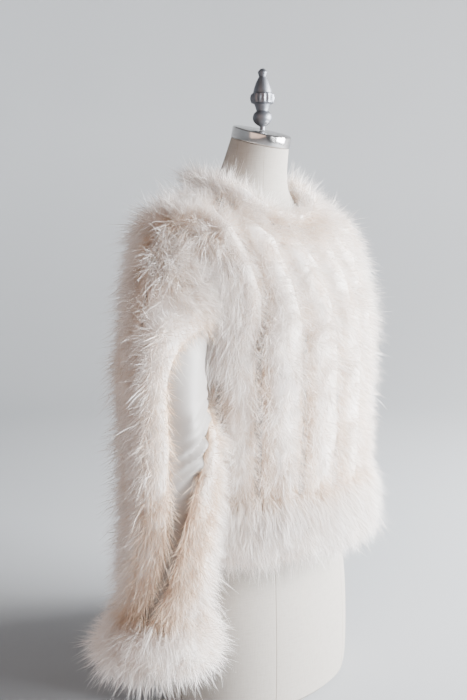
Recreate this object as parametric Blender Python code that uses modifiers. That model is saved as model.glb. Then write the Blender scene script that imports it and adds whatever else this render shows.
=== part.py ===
"""Marabou jacket on a tailor's dress form.

Metres, +Z up. The form stands on its flat underside at z = 0, its front faces -Y, and the
wearer's right arm is at -X. The jacket is a satin shell (two fronts, a back and two sleeves)
with lengths of marabou boa sewn on it: upright rows on every panel, and rings at the neck,
the hem and the cuffs.
"""

import bisect
import math
from collections import namedtuple
from functools import lru_cache

import bmesh
import bpy
from mathutils import Matrix, Vector
from mathutils.bvhtree import BVHTree

# Cloth and seams
CLOTH = 0.0012
SEAM_GAP = 0.0005
BOA_LIFT = 0.0010
BOA_PARTING = 0.0030
SURE_GAP = 0.0022

# Heights of the jacket's edges
HEM_Z = 0.254
ROW_FOOT_Z = 0.300
ARMPIT_Z = 0.535
TIP_Z = 0.682
NECK_POINT_Z = 0.736
NECK_FRONT_Z = 0.694
NECK_BACK_Z = 0.748
LOWER_RINGS_Z = (HEM_Z, ROW_FOOT_Z, 0.345, 0.395, 0.445, 0.492, ARMPIT_Z)
UPPER_STEPS = 6
ARMHOLE_SCOOP = 0.052
ARMHOLE_ROUND = 0.6

# Boa pile
BODY_PILE = 0.038
BACK_TOP_PILE = 0.046
SLEEVE_PILE = 0.034
LEAST_PILE = 0.003
PRESS_STEP = 0.001
ROW_END_PILE = 0.28
ROW_END_ROUND = 9
ROW_TOP_LIFT = 0.0012
ROW_SEGMENTS = 3
RING_BOA_HEIGHT = 0.038
HEM_BOA_PILE = 0.034
CUFF_BOA_PILE = 0.044
NECK_BOA_PILE_FRONT = 0.030
NECK_BOA_PILE_BACK = 0.053
NECK_BOA_WIDTH = 0.022
NECK_BOA_LIFT = 0.0030
NECK_BOA_STEPS = 28

# Sleeve
CUFF_Z = 0.136
HEAD_STEPS = 4
GAP_SEGMENTS = 3
SLEEVE_HEAD_REACH = 0.064
SLEEVE_HEAD_DROP = 0.110
HEAD_LOW_SHARE = 0.25
ARMHOLE_GAP = 0.0012

# Dress form
FORM_SEGMENTS = 32
FORM_RING_STEP = 0.048
CAP_RADIUS = 0.0432
CAP_HEIGHT = 0.0165
CAP_BEVEL = 0.0015
CAP_SEGMENTS = 32
NECK_TILT = math.radians(14.7)
NECK_TOP_Z = 0.8035
NECK_TOP_Y = -0.0065
SEAT_GAP = 0.0003
FINIAL_STEPS = 24
STEM_RADIUS = 0.0038

Section = namedtuple("Section", "z half_width front back centre_y power")
FORM_SECTIONS = (
    Section(0.000, 0.1630, 0.1120, 0.1130, 0.0000, 2.15),
    Section(0.006, 0.1685, 0.1175, 0.1185, 0.0000, 2.15),
    Section(0.060, 0.1705, 0.1190, 0.1210, 0.0000, 2.15),
    Section(0.145, 0.1690, 0.1160, 0.1220, 0.0000, 2.15),
    Section(0.220, 0.1540, 0.1060, 0.1120, 0.0000, 2.15),
    Section(0.290, 0.1300, 0.0940, 0.0960, 0.0000, 2.10),
    Section(0.345, 0.1170, 0.0870, 0.0850, 0.0000, 2.10),
    Section(0.400, 0.1220, 0.0960, 0.0890, 0.0000, 2.10),
    Section(0.455, 0.1320, 0.1140, 0.0950, 0.0000, 2.15),
    Section(0.505, 0.1390, 0.1270, 0.0990, 0.0000, 2.20),
    Section(0.560, 0.1430, 0.1190, 0.1010, 0.0020, 2.25),
    Section(0.610, 0.1500, 0.1040, 0.0990, 0.0050, 2.30),
    Section(0.650, 0.1590, 0.0880, 0.0870, 0.0090, 2.30),
    Section(0.674, 0.1660, 0.0740, 0.0730, 0.0120, 2.20),
    Section(0.690, 0.1360, 0.0660, 0.0640, 0.0130, 2.10),
    Section(0.706, 0.1050, 0.0600, 0.0570, 0.0130, 2.05),
    Section(0.722, 0.0770, 0.0555, 0.0525, 0.0120, 2.00),
    Section(0.738, 0.0600, 0.0520, 0.0500, 0.0100, 2.00),
    Section(0.760, 0.0500, 0.0475, 0.0475, 0.0055, 2.00),
    Section(NECK_TOP_Z, 0.0425, 0.0425, 0.0425, NECK_TOP_Y, 2.00),
)
NECK_TILT_FROM_Z = 0.722

JACKET_SECTIONS = (
    Section(HEM_Z, 0.1670, 0.1380, 0.1380, 0.0000, 2.20),
    Section(0.345, 0.1660, 0.1400, 0.1340, 0.0000, 2.20),
    Section(0.440, 0.1645, 0.1410, 0.1290, 0.0000, 2.20),
    Section(0.505, 0.1630, 0.1420, 0.1250, 0.0000, 2.20),
    Section(0.560, 0.1610, 0.1340, 0.1210, 0.0020, 2.25),
    Section(0.610, 0.1640, 0.1150, 0.1120, 0.0050, 2.30),
    Section(0.650, 0.1730, 0.0950, 0.0950, 0.0090, 2.30),
    Section(0.682, 0.1830, 0.0780, 0.0770, 0.0120, 2.20),
    Section(0.692, 0.1400, 0.0690, 0.0675, 0.0130, 2.10),
    Section(0.708, 0.1110, 0.0635, 0.0610, 0.0130, 2.05),
    Section(0.724, 0.0835, 0.0595, 0.0570, 0.0120, 2.00),
    Section(0.736, 0.0675, 0.0565, 0.0550, 0.0105, 2.00),
    Section(0.760, 0.0560, 0.0525, 0.0525, 0.0070, 2.00),
)

# Rows of boa on half a front or half the back, from its middle to its side, as shares of its width.
# Each stops short of its panel's top, by rings of the panel and then by a share of the next ring.
Row = namedtuple("Row", "start end rings_short inset")
HALF_ROWS = (
    Row(0.00, 0.27, 1, 0.20),
    Row(0.27, 0.54, 1, 0.25),
    Row(0.54, 0.75, 0, 0.12),
    Row(0.75, 0.93, 0, 0.12),
)

# Height of the pile across a row, as a share of the full pile.
PileStep = namedtuple("PileStep", "across height")
PILE_PROFILE = (
    PileStep(0.00, 0.30),
    PileStep(0.16, 0.80),
    PileStep(0.50, 1.00),
    PileStep(0.84, 0.80),
    PileStep(1.00, 0.30),
)
NECK_PROFILE = (
    PileStep(-0.45, 0.35),
    PileStep(-0.20, 0.88),
    PileStep(0.30, 1.00),
    PileStep(0.80, 0.80),
    PileStep(1.00, 0.30),
)
# A ring of boa in section: out from the cloth and up, as shares of its pile and half-height.
RingStep = namedtuple("RingStep", "out up")
RING_PROFILE = (
    RingStep(0.00, -0.80),
    RingStep(0.45, -1.00),
    RingStep(0.90, -0.60),
    RingStep(1.00, 0.00),
    RingStep(0.90, 0.60),
    RingStep(0.45, 1.00),
    RingStep(0.00, 0.80),
)

# Where each sleeve hangs: its middle and its half-widths at each height.
Arm = namedtuple("Arm", "z out forward half_out half_front")
ARMS = {
    "right": (
        Arm(0.500, 0.2250, 0.034, 0.0460, 0.0520),
        Arm(0.420, 0.2330, 0.045, 0.0460, 0.0490),
        Arm(0.330, 0.2370, 0.047, 0.0450, 0.0460),
        Arm(0.230, 0.2390, 0.038, 0.0450, 0.0460),
        Arm(CUFF_Z, 0.2400, 0.024, 0.0490, 0.0510),
    ),
    "left": (
        Arm(0.500, 0.2250, -0.018, 0.0460, 0.0520),
        Arm(0.420, 0.2310, -0.034, 0.0460, 0.0490),
        Arm(0.330, 0.2330, -0.052, 0.0450, 0.0460),
        Arm(0.230, 0.2310, -0.074, 0.0450, 0.0460),
        Arm(CUFF_Z, 0.2220, -0.096, 0.0490, 0.0510),
    ),
}
ARM_RINGS_Z = (0.500, 0.455, 0.410, 0.365, 0.320, 0.275, 0.230, 0.182, CUFF_Z)

# The pile of the fronts' rows, flatter at the waist.
Pile = namedtuple("Pile", "z depth")
FRONT_PILE = (
    Pile(0.280, 0.026),
    Pile(0.350, 0.023),
    Pile(0.420, 0.022),
    Pile(0.480, 0.026),
    Pile(0.550, 0.032),
    Pile(0.640, 0.035),
    Pile(0.760, 0.036),
)

# The bare satin between two rows of a sleeve, in degrees round it: 0 is outward, 90 is the
# front and 180 is inward. It is wide at the upper arm and a parting below, and it turns
# outward towards the cuff.
Bare = namedtuple("Bare", "z start end")
SLEEVE_BARE = (
    Bare(CUFF_Z, 14.0, 19.0),
    Bare(0.182, 14.0, 19.0),
    Bare(0.230, 32.0, 38.0),
    Bare(0.320, 46.0, 57.0),
    Bare(0.365, 46.0, 74.0),
    Bare(0.410, 42.0, 104.0),
    Bare(0.455, 40.0, 140.0),
    Bare(0.500, 40.0, 160.0),
)
# How much of the bare satin the last row covers on each ring of the sleeve's head.
HEAD_CLOSED = (0.78, 0.78, 0.58, 0.14)
# Rows of boa on a sleeve, round from the inner end of the bare satin.
SleeveRow = namedtuple("SleeveRow", "first_ring")
SLEEVE_ROWS = (
    SleeveRow(HEAD_STEPS + 1),
    SleeveRow(HEAD_STEPS),
    SleeveRow(1),
    SleeveRow(1),
    SleeveRow(1),
)
CUFF_ROW_END_Z = 0.180

# The finial's outline, top to bottom.
Turning = namedtuple("Turning", "height radius")
FINIAL_PROFILE = (
    Turning(0.0868, 0.0000),
    Turning(0.0860, 0.0036),
    Turning(0.0815, 0.0071),
    Turning(0.0768, 0.0058),
    Turning(0.0750, 0.0052),
    Turning(0.0690, 0.0088),
    Turning(0.0600, 0.0122),
    Turning(0.0522, 0.0139),
    Turning(0.0505, 0.0168),
    Turning(0.0445, 0.0188),
    Turning(0.0385, 0.0166),
    Turning(0.0362, 0.0118),
    Turning(0.0310, 0.0098),
    Turning(0.0270, 0.0088),
    Turning(0.0235, 0.0130),
    Turning(0.0170, 0.0149),
    Turning(0.0105, 0.0125),
    Turning(0.0065, 0.0060),
    Turning(0.0050, STEM_RADIUS),
    Turning(0.0000, STEM_RADIUS),
    Turning(0.0000, 0.0000),
)

Finish = namedtuple("Finish", "colour roughness metallic")
FINISHES = {
    "satin": Finish((0.86, 0.82, 0.76), 0.35, 0.0),
    "marabou": Finish((0.90, 0.85, 0.80), 0.90, 0.0),
    "linen": Finish((0.74, 0.70, 0.63), 0.85, 0.0),
    "nickel": Finish((0.62, 0.61, 0.60), 0.20, 1.0),
    "pewter": Finish((0.26, 0.26, 0.28), 0.42, 0.8),
}


def smooth_value(knots, values, at):
    """A cubic through a short table that never swings past its values."""
    if at <= knots[0]:
        return values[0]
    if at >= knots[-1]:
        return values[-1]
    steps = [b - a for a, b in zip(knots, knots[1:])]
    rises = [(b - a) / step for a, b, step in zip(values, values[1:], steps)]

    def slope(i):
        if i in (0, len(knots) - 1):
            return rises[min(i, len(rises) - 1)]
        if rises[i - 1] * rises[i] <= 0:
            return 0.0
        return 2 * rises[i - 1] * rises[i] / (rises[i - 1] + rises[i])

    k = bisect.bisect_right(knots, at) - 1
    t = (at - knots[k]) / steps[k]
    bend_in = slope(k) * steps[k] * t * (1 - t) ** 2
    bend_out = slope(k + 1) * steps[k] * t * t * (t - 1)
    ease = t * t * (3 - 2 * t)
    return values[k] * (1 - ease) + values[k + 1] * ease + bend_in + bend_out


@lru_cache(maxsize=None)
def smooth_row(table, z):
    """A row of a table of sections at any height."""
    rows = sorted(table)
    knots = [row[0] for row in rows]
    return type(rows[0])(z, *(smooth_value(knots, column, z) for column in list(zip(*rows))[1:]))


def on_section(section, turn):
    """A point of a section. turn is 0 at the front, 90 degrees at +X and 180 at the back."""
    side, ahead = math.sin(turn), math.cos(turn)
    size = (abs(side) ** section.power + abs(ahead) ** section.power) ** (-1 / section.power)
    depth = section.front if ahead > 0 else section.back
    return Vector((section.half_width * size * side, section.centre_y - depth * size * ahead, section.z))


def jacket_point(z, turn):
    return on_section(smooth_row(JACKET_SECTIONS, z), turn)


def jacket_normal(z, turn):
    """The outward normal of the jacket's surface."""
    nudge_turn, nudge_z = 0.01, 0.0015
    along = jacket_point(z, turn + nudge_turn) - jacket_point(z, turn - nudge_turn)
    up = jacket_point(z + nudge_z, turn) - jacket_point(z - nudge_z, turn)
    return along.cross(up).normalized()


# The jacket's body


@lru_cache(maxsize=None)
def half_outline(half, z):
    """Turns from the middle of the front or back to the side, and the length of cloth up to each."""
    steps = 90
    middle = 0.0 if half == "front" else math.pi
    way = 1 if half == "front" else -1
    turns = [middle + way * math.pi / 2 * i / steps for i in range(steps + 1)]
    points = [jacket_point(z, turn) for turn in turns]
    lengths = [0.0]
    for a, b in zip(points, points[1:]):
        lengths.append(lengths[-1] + (b - a).length)
    return turns, lengths


def turn_at(half, z, length):
    """The turn that lies this length of cloth from the middle of the front or back."""
    turns, lengths = half_outline(half, z)
    if length >= lengths[-1]:
        return turns[-1]
    k = max(1, bisect.bisect_left(lengths, length))
    share = (length - lengths[k - 1]) / (lengths[k] - lengths[k - 1])
    return turns[k - 1] + share * (turns[k] - turns[k - 1])


def column_length(half, across, z):
    """Cloth from the middle to a column. The one at 1 is the side seam, then the armhole's edge."""
    full = half_outline(half, min(z, TIP_Z))[1][-1]
    climb = min(max((z - ARMPIT_Z) / (TIP_Z - ARMPIT_Z), 0.0), 1.0)
    scoop = ARMHOLE_SCOOP * math.sin(math.pi * climb**ARMHOLE_ROUND)
    return full * across - scoop * across**2


def neckline_z(half, length):
    """Height of the neckline at this length of cloth from the middle."""
    share = min(1.0, length / half_outline(half, NECK_POINT_Z)[1][-1])
    middle = NECK_FRONT_Z if half == "front" else NECK_BACK_Z
    return middle + (NECK_POINT_Z - middle) * share**2


def column_top(half, across):
    """Height where a column of cloth ends, at the neckline or at the shoulder seam."""
    length = column_length(half, across, TIP_Z)
    low, high = TIP_Z, neckline_z(half, length)
    if across >= 1.0:
        return TIP_Z
    if half_outline(half, high)[1][-1] >= length:
        return high
    for _ in range(30):
        middle = (low + high) / 2
        if half_outline(half, middle)[1][-1] >= length:
            low = middle
        else:
            high = middle
    return low


def column_place(half, across, z):
    """The point and normal of a column at a height. across runs from 0 at the middle to 1."""
    turn = turn_at(half, z, column_length(half, abs(across), z))
    if half == "back":
        turn = turn if across >= 0 else 2 * math.pi - turn
    elif across < 0:
        turn = -turn
    return jacket_point(z, turn), jacket_normal(z, turn)


def panel_column(half, across):
    """Points and normals up one column of cloth, closer together on the shoulder."""
    places = [column_place(half, across, z) for z in LOWER_RINGS_Z]
    top = column_top(half, abs(across))
    fine_steps = 80
    fine = [
        column_place(half, across, ARMPIT_Z + (top - ARMPIT_Z) * i / fine_steps)
        for i in range(fine_steps + 1)
    ]
    run = [0.0]
    for a, b in zip(fine, fine[1:]):
        run.append(run[-1] + (b[0] - a[0]).length)
    for step in range(1, UPPER_STEPS + 1):
        wanted = run[-1] * step / UPPER_STEPS
        places.append(fine[min(bisect.bisect_left(run, wanted - 1e-9), fine_steps)])
    return places


def row_columns(row, way):
    """The columns that a row of boa lies on, from its side inward. way is -1 at -X and 1 at +X."""
    step = (row.end - row.start) / ROW_SEGMENTS
    return [round(way * (row.end - step * i), 6) for i in range(ROW_SEGMENTS + 1)]


def panel_columns(ways):
    """Every column of a panel, so that its cloth and its boas share their points."""
    columns = {across for way in ways for row in HALF_ROWS for across in row_columns(row, way)}
    return sorted(columns | {float(way) for way in ways})


# Meshes


def new_object(name, mesh, finish, collection):
    obj = bpy.data.objects.new(name, mesh)
    obj.data.materials.append(finish)
    collection.objects.link(obj)
    mesh.shade_smooth()
    mesh.set_sharp_from_angle(angle=math.radians(50))
    return obj


def patch(count, length, closed, mirrored_from=None):
    """Triangles of a grid of columns as pairs of (column, place), split the other way once mirrored."""
    triangles = []
    for i in range(count if closed else count - 1):
        a, b = i, (i + 1) % count
        if mirrored_from is not None and i >= mirrored_from:
            a, b = b, a
        for j in range(length - 1):
            triangles.append(((a, j), (b, j), (b, j + 1)))
            triangles.append(((a, j), (b, j + 1), (a, j + 1)))
    return triangles


def finish_mesh(name, fill):
    """A closed mesh from a function that fills a bmesh, with its faces turned outward."""
    mesh = bpy.data.meshes.new(name)
    work = bmesh.new()
    fill(work)
    bmesh.ops.recalc_face_normals(work, faces=work.faces)
    work.to_mesh(mesh)
    work.free()
    return mesh


def sheet_object(name, places, closed, finish, collection, mirrored_from=None):
    """A wall of cloth from columns of points and normals, its thickness laid inward."""
    count, length = len(places), len(places[0])

    def fill(work):
        outer = [[work.verts.new(point) for point, _ in column] for column in places]
        inner = [[work.verts.new(point - normal * CLOTH) for point, normal in column] for column in places]
        for layer in (outer, inner):
            for triangle in patch(count, length, closed, mirrored_from):
                work.faces.new([layer[i][j] for i, j in triangle])
        for i in range(count if closed else count - 1):
            k = (i + 1) % count
            for j in (0, length - 1):
                work.faces.new((outer[i][j], outer[k][j], inner[k][j], inner[i][j]))
        if not closed:
            for i in (0, count - 1):
                for j in range(length - 1):
                    work.faces.new((outer[i][j], outer[i][j + 1], inner[i][j + 1], inner[i][j]))

    return new_object(name, finish_mesh(name, fill), finish, collection)


def loft_object(name, rings, finish, collection, capped=True):
    """A closed solid through rings of points. Without caps the last ring joins the first."""
    sides = len(rings[0])

    def fill(work):
        verts = [[work.verts.new(point) for point in ring] for ring in rings]
        joined = list(zip(verts, verts[1:]))
        if capped:
            work.faces.new(verts[0])
            work.faces.new(verts[-1])
        else:
            joined.append((verts[-1], verts[0]))
        for a, b in joined:
            for k in range(sides):
                n = (k + 1) % sides
                work.faces.new((a[k], a[n], b[n]))
                work.faces.new((a[k], b[n], b[k]))

    return new_object(name, finish_mesh(name, fill), finish, collection)


# What presses the pile flat where a sleeve hangs against the body

Obstacle = namedtuple("Obstacle", "tree middle")


def obstacle(grid, closed, middle):
    """A surface that pile keeps off. middle gives the middle of its hollow at any height."""
    length = len(grid[0])
    points = [point for column in grid for point in column]
    triangles = [
        [i * length + j for i, j in triangle] for triangle in patch(len(grid), length, closed)
    ]
    return Obstacle(BVHTree.FromPolygons(points, triangles), middle)


def room_to(thing, point):
    """How far a point lies outside an obstacle, or less than 0 within it."""
    nearest, _, _, distance = thing.tree.find_nearest(point)
    outward = nearest - thing.middle(nearest.z)
    return distance if outward.dot(point - nearest) > 0 else -distance


def pressed(base, out, pile, shared, fixed=()):
    """Pile shortened to half the room before each shared obstacle, and to stay off the fixed ones."""
    while pile > LEAST_PILE:
        tip = base + out * pile
        clear = all(room_to(thing, tip) > pile + SURE_GAP for thing in shared)
        if clear and all(room_to(thing, tip) > 2 * SURE_GAP for thing in fixed):
            break
        pile -= PRESS_STEP
    return max(pile, LEAST_PILE)


# Boas


def across_line(line, share):
    """A point and normal at a share of the way along a line of points and normals."""
    spot = share * (len(line) - 1)
    k = min(int(max(spot, 0.0)), len(line) - 2)
    part = spot - k
    return line[k][0].lerp(line[k + 1][0], part), line[k][1].lerp(line[k + 1][1], part).normalized()


def parted(line):
    """A line across a row with its two ends drawn in, so that neighbouring rows stay apart."""
    width = sum((b[0] - a[0]).length for a, b in zip(line, line[1:]))
    inset = BOA_PARTING / 2 / width
    return [across_line(line, inset), *line[1:-1], across_line(line, 1 - inset)]


def boa_ring(line, profile, lift, pile, press):
    """One ring of a boa: under it the cloth's own points moved out, over it the rounded pile."""
    under = [base + normal * lift for base, normal in line]
    over = []
    for step in reversed(profile):
        base, normal = across_line(line, step.across)
        over.append(base + normal * (lift + press(base, normal, pile * step.height)))
    return under + over


def row_object(name, lines, pile_at, press, finish, collection, full_end=False):
    """A row of boa along a panel, rounded at its two ends, or only at its first."""
    run = [0.0]
    for a, b in zip(lines, lines[1:]):
        run.append(run[-1] + (b[1][0] - a[1][0]).length)
    rings = []
    for line, done in zip(lines, run):
        from_middle = abs(2 * done / run[-1] - 1)
        if full_end and 2 * done > run[-1]:
            from_middle = 0.0
        taper = max(ROW_END_PILE, (1 - from_middle**ROW_END_ROUND) ** 0.5)
        pile = pile_at(line[1][0].z) * taper
        rings.append(boa_ring(parted(line), PILE_PROFILE, BOA_LIFT, pile, press))
    return loft_object(name, rings, finish, collection)


def ring_boa_object(name, path, pile, press, closed, finish, collection):
    """A boa round an edge. path holds a point of the cloth, its outward way and its way up."""
    rings = []
    for base, out, up in path:
        ring = []
        for step in RING_PROFILE:
            level = base + up * (RING_BOA_HEIGHT * step.up)
            reach = press(level, out, pile * step.out) if step.out else 0.0
            ring.append(level + out * (BOA_LIFT + reach))
        rings.append(ring)
    return loft_object(name, rings, finish, collection, capped=not closed)


# The jacket's body

Panel = namedtuple("Panel", "name half ways")
PANELS = (
    Panel("front_right", "front", (-1,)),
    Panel("back", "back", (-1, 1)),
    Panel("front_left", "front", (1,)),
)


def jacket_middle(z):
    return Vector((0, smooth_row(JACKET_SECTIONS, z).centre_y, z))


def panel_places(panel):
    """Points and normals of a panel, by column."""
    ends = {0.0, 1.0, -1.0}
    places = {across: panel_column(panel.half, across) for across in panel_columns(panel.ways)}
    ordered = sorted(places)
    drawn_in = {}
    for k, across in enumerate(ordered):
        column = list(places[across])
        if across in ends and k in (0, len(ordered) - 1):
            beside = places[ordered[1 if k == 0 else -2]]
            column = [
                (p + (q - p).normalized() * SEAM_GAP / 2, normal)
                for (p, normal), (q, _) in zip(column, beside)
            ]
        top, below = column[-1], column[-2]
        column[-1] = (top[0] + (below[0] - top[0]).normalized() * SEAM_GAP / 2, top[1])
        drawn_in[across] = column
    return drawn_in


def way_up(column):
    """The way up the lowest stretch of a column, for one metre of height."""
    rise = column[1][0] - column[0][0]
    return rise / rise.z


def round_the_body(panel, places):
    """A panel's columns in order round the body, from the right front's opening by the back."""
    return sorted(places, reverse=panel.half == "front")


def body_obstacle(places_of):
    """The jacket's cloth, carried on down to the foot of its hem boa."""
    grid = []
    for panel in PANELS:
        places = places_of[panel.name]
        for across in round_the_body(panel, places):
            column = [point for point, _ in places[across]]
            foot = column[0] - way_up(places[across]) * RING_BOA_HEIGHT
            grid.append([foot, *column])
    return obstacle(grid, True, jacket_middle)


def make_body(places_of, sleeves, finishes, collection):
    """The two fronts and the back, each with its rows of boa."""

    def press(base, out, pile):
        return pressed(base, out, pile, sleeves)

    def front_pile(z):
        return smooth_row(FRONT_PILE, z).depth

    def back_pile(z):
        share = min(1.0, max(0.0, (z - ARMPIT_Z) / (TIP_Z - ARMPIT_Z)))
        return BODY_PILE + (BACK_TOP_PILE - BODY_PILE) * share

    for panel in PANELS:
        places = places_of[panel.name]
        columns = [places[across] for across in sorted(places)]
        middle = sum(1 for across in places if across < 0)
        sheet_object(panel.name, columns, False, finishes["satin"], collection, middle)
        number = 0
        for way in panel.ways:
            for row in HALF_ROWS[::way] if len(panel.ways) > 1 else HALF_ROWS:
                number += 1
                columns = [places[across] for across in row_columns(row, way)]
                rings = range(1, len(columns[0]) - row.rings_short)
                lines = [[column[ring] for column in columns] for ring in rings]
                lines[-1] = [
                    (a[0].lerp(b[0], row.inset) + a[1] * ROW_TOP_LIFT, a[1])
                    for a, b in zip(lines[-1], lines[-2])
                ]
                row_object(
                    f"{panel.name}_boa_{number}",
                    lines,
                    back_pile if panel.half == "back" else front_pile,
                    press,
                    finishes["marabou"],
                    collection,
                    full_end=not row.rings_short,
                )


def make_hem_boa(places_of, sleeves, finishes, collection):
    """The boa round the hem, open at the front."""
    path = []
    for panel in PANELS:
        places = places_of[panel.name]
        for across in round_the_body(panel, places):
            if abs(across) == 1.0 and panel.half == "front":
                continue
            base, normal = places[across][0]
            out = Vector((normal.x, normal.y, 0)).normalized()
            path.append((base.copy(), out, way_up(places[across])))
    path[0][0].x -= BOA_PARTING / 2
    path[-1][0].x += BOA_PARTING / 2

    def press(base, out, pile):
        return pressed(base, out, pile, sleeves)

    ring_boa_object("hem_boa", path, HEM_BOA_PILE, press, False, finishes["marabou"], collection)


def neck_line(turn):
    """Points and normals from the neckline down the cloth, for the neck's boa to lie on."""
    half = "front" if math.cos(turn) > 0 else "back"
    turns, _ = half_outline(half, NECK_POINT_Z)
    from_middle = min(turn, 2 * math.pi - turn) if half == "front" else abs(math.pi - turn)
    share = from_middle / abs(turns[-1] - turns[0])
    z = NECK_POINT_Z
    for _ in range(6):
        lengths = half_outline(half, z)[1]
        spot = share * (len(lengths) - 1)
        k = min(int(spot), len(lengths) - 2)
        z = neckline_z(half, lengths[k] + (lengths[k + 1] - lengths[k]) * (spot - k))
    line = [(jacket_point(z, turn), jacket_normal(z, turn))]
    done, last = 0.0, line[0][0]
    for wanted in (NECK_BOA_WIDTH / 2, NECK_BOA_WIDTH):
        while done < wanted:
            z -= PRESS_STEP / 4
            point = jacket_point(z, turn)
            done += (point - last).length
            last = point
        line.append((last, jacket_normal(z, turn)))
    return line


def make_neck_boa(finishes, collection):
    """The boa round the neckline, open at the front."""
    lines = [neck_line(2 * math.pi * step / NECK_BOA_STEPS) for step in range(NECK_BOA_STEPS + 1)]
    for line, way in ((lines[0], 1), (lines[-1], -1)):
        for point, _ in line:
            point.x += way * BOA_PARTING / 2
    rings = []
    for step, line in enumerate(lines):
        to_back = 0.5 - 0.5 * math.cos(2 * math.pi * step / NECK_BOA_STEPS)
        pile = NECK_BOA_PILE_FRONT + (NECK_BOA_PILE_BACK - NECK_BOA_PILE_FRONT) * to_back
        rings.append(boa_ring(line, NECK_PROFILE, NECK_BOA_LIFT, pile, lambda base, out, pile: pile))
    loft_object("neck_boa", rings, finishes["marabou"], collection)


# Sleeves


def arm_sign(side):
    return -1 if side == "right" else 1


def arm_middle(side, z):
    arm = smooth_row(ARMS[side], min(z, ARM_RINGS_Z[0]))
    return Vector((arm_sign(side) * arm.out, -arm.forward, z))


def armhole_edge(half, side, share):
    """A point of the armhole's edge, from the shoulder at 0 to the armpit at 1."""
    steps = 40
    levels = [TIP_Z + (ARMPIT_Z - TIP_Z) * i / steps for i in range(steps + 1)]
    points = [column_place(half, arm_sign(side), z)[0] for z in levels]
    run = [0.0]
    for a, b in zip(points, points[1:]):
        run.append(run[-1] + (b - a).length)
    wanted = share * run[-1]
    k = min(max(1, bisect.bisect_left(run, wanted)), steps)
    return points[k - 1].lerp(points[k], (wanted - run[k - 1]) / (run[k] - run[k - 1]))


def arm_point(side, z, degrees):
    """A point of the hanging part of a sleeve. 0 degrees is outward and 90 is the front."""
    arm, turn = smooth_row(ARMS[side], z), math.radians(degrees)
    ahead = arm.half_front * math.sin(turn)
    out = arm.half_out * math.cos(turn)
    return arm_middle(side, z) + Vector((arm_sign(side) * out, -ahead, 0))


def head_point(side, step, degrees):
    """A point of the sleeve's head, on a curve from the armhole out and down to the arm."""
    degrees = degrees % 360
    half, share = ("front", degrees / 180) if degrees <= 180 else ("back", 2 - degrees / 180)
    outward = Vector((arm_sign(side), 0, 0))
    start = armhole_edge(half, side, share) + outward * ARMHOLE_GAP
    end = arm_point(side, ARM_RINGS_Z[0], degrees)
    high = HEAD_LOW_SHARE + (1 - HEAD_LOW_SHARE) * (0.5 + 0.5 * math.cos(math.radians(degrees)))
    leave = outward * SLEEVE_HEAD_REACH * high
    arrive = Vector((0, 0, -SLEEVE_HEAD_DROP)) * high
    t = step / HEAD_STEPS
    ease = t * t * (3 - 2 * t)
    return start * (1 - ease) + end * ease + leave * t * (1 - t) ** 2 + arrive * t * t * (t - 1)


def sleeve_turns(z, closed=0.0):
    """Degrees of every column of a sleeve at a height, from the inner end of the bare satin.

    closed is the share of the bare satin that the last row covers as well.
    """
    bare = smooth_row(SLEEVE_BARE, z)
    covered = 360 - (bare.end - bare.start)
    rows = len(SLEEVE_ROWS) * ROW_SEGMENTS
    turns = [bare.end + covered * i / rows for i in range(rows - ROW_SEGMENTS + 1)]
    start = bare.start + (bare.end - bare.start) * closed
    last_row = 360 + start - turns[-1]
    turns += [turns[-1] + last_row * i / ROW_SEGMENTS for i in range(1, ROW_SEGMENTS + 1)]
    parting = (bare.end - start) / GAP_SEGMENTS
    return turns + [start + 360 + parting * i for i in range(1, GAP_SEGMENTS)]


def sleeve_point(side, ring, column):
    if ring < HEAD_STEPS:
        return head_point(side, ring, sleeve_turns(ARM_RINGS_Z[0], HEAD_CLOSED[ring])[column])
    z = ARM_RINGS_Z[ring - HEAD_STEPS]
    return arm_point(side, z, sleeve_turns(z)[column])


def sleeve_places(side):
    """Points and normals of a sleeve, by column from the shoulder down."""
    rings = HEAD_STEPS + len(ARM_RINGS_Z)
    count = len(sleeve_turns(CUFF_Z))
    grid = [[sleeve_point(side, ring, column) for ring in range(rings)] for column in range(count)]
    places = []
    for i, column in enumerate(grid):
        around = [a - b for a, b in zip(grid[(i + 1) % count], grid[i - 1])]
        places.append([])
        for j, point in enumerate(column):
            along = column[min(j + 1, rings - 1)] - column[max(j - 1, 0)]
            normal = along.cross(around[j]) * -arm_sign(side)
            if j == 0:
                normal.x = 0
            places[-1].append((point, normal.normalized()))
    return places


def make_sleeve(side, places, body, form, finishes, collection):
    """A sleeve, its rows of boa and the boa round its cuff."""
    count = len(places)

    def press(base, out, pile):
        return pressed(base, out, pile, (body,), (form,))

    def sleeve_pile(z):
        return SLEEVE_PILE

    sheet_object(f"sleeve_{side}", places, True, finishes["satin"], collection)
    last = HEAD_STEPS + sum(1 for z in ARM_RINGS_Z if z >= CUFF_ROW_END_Z)
    for number, row in enumerate(SLEEVE_ROWS, 1):
        first = (number - 1) * ROW_SEGMENTS
        columns = [places[column % count] for column in range(first, first + ROW_SEGMENTS + 1)]
        lines = [[column[ring] for column in columns] for ring in range(row.first_ring, last)]
        row_object(
            f"sleeve_{side}_boa_{number}", lines, sleeve_pile, press, finishes["marabou"], collection
        )
    path = []
    for column in places:
        base, normal = column[-1]
        rise = column[-2][0] - base
        path.append((base, Vector((normal.x, normal.y, 0)).normalized(), rise / rise.z))
    ring_boa_object(f"cuff_boa_{side}", path, CUFF_BOA_PILE, press, True, finishes["marabou"], collection)


# The dress form


def neck_lean(z):
    """How far the form's rings lean forward, from level below to the neck cap's tilt."""
    share = (z - NECK_TILT_FROM_Z) / (NECK_TOP_Z - NECK_TILT_FROM_Z)
    return NECK_TILT * min(1.0, max(0.0, share))


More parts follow.
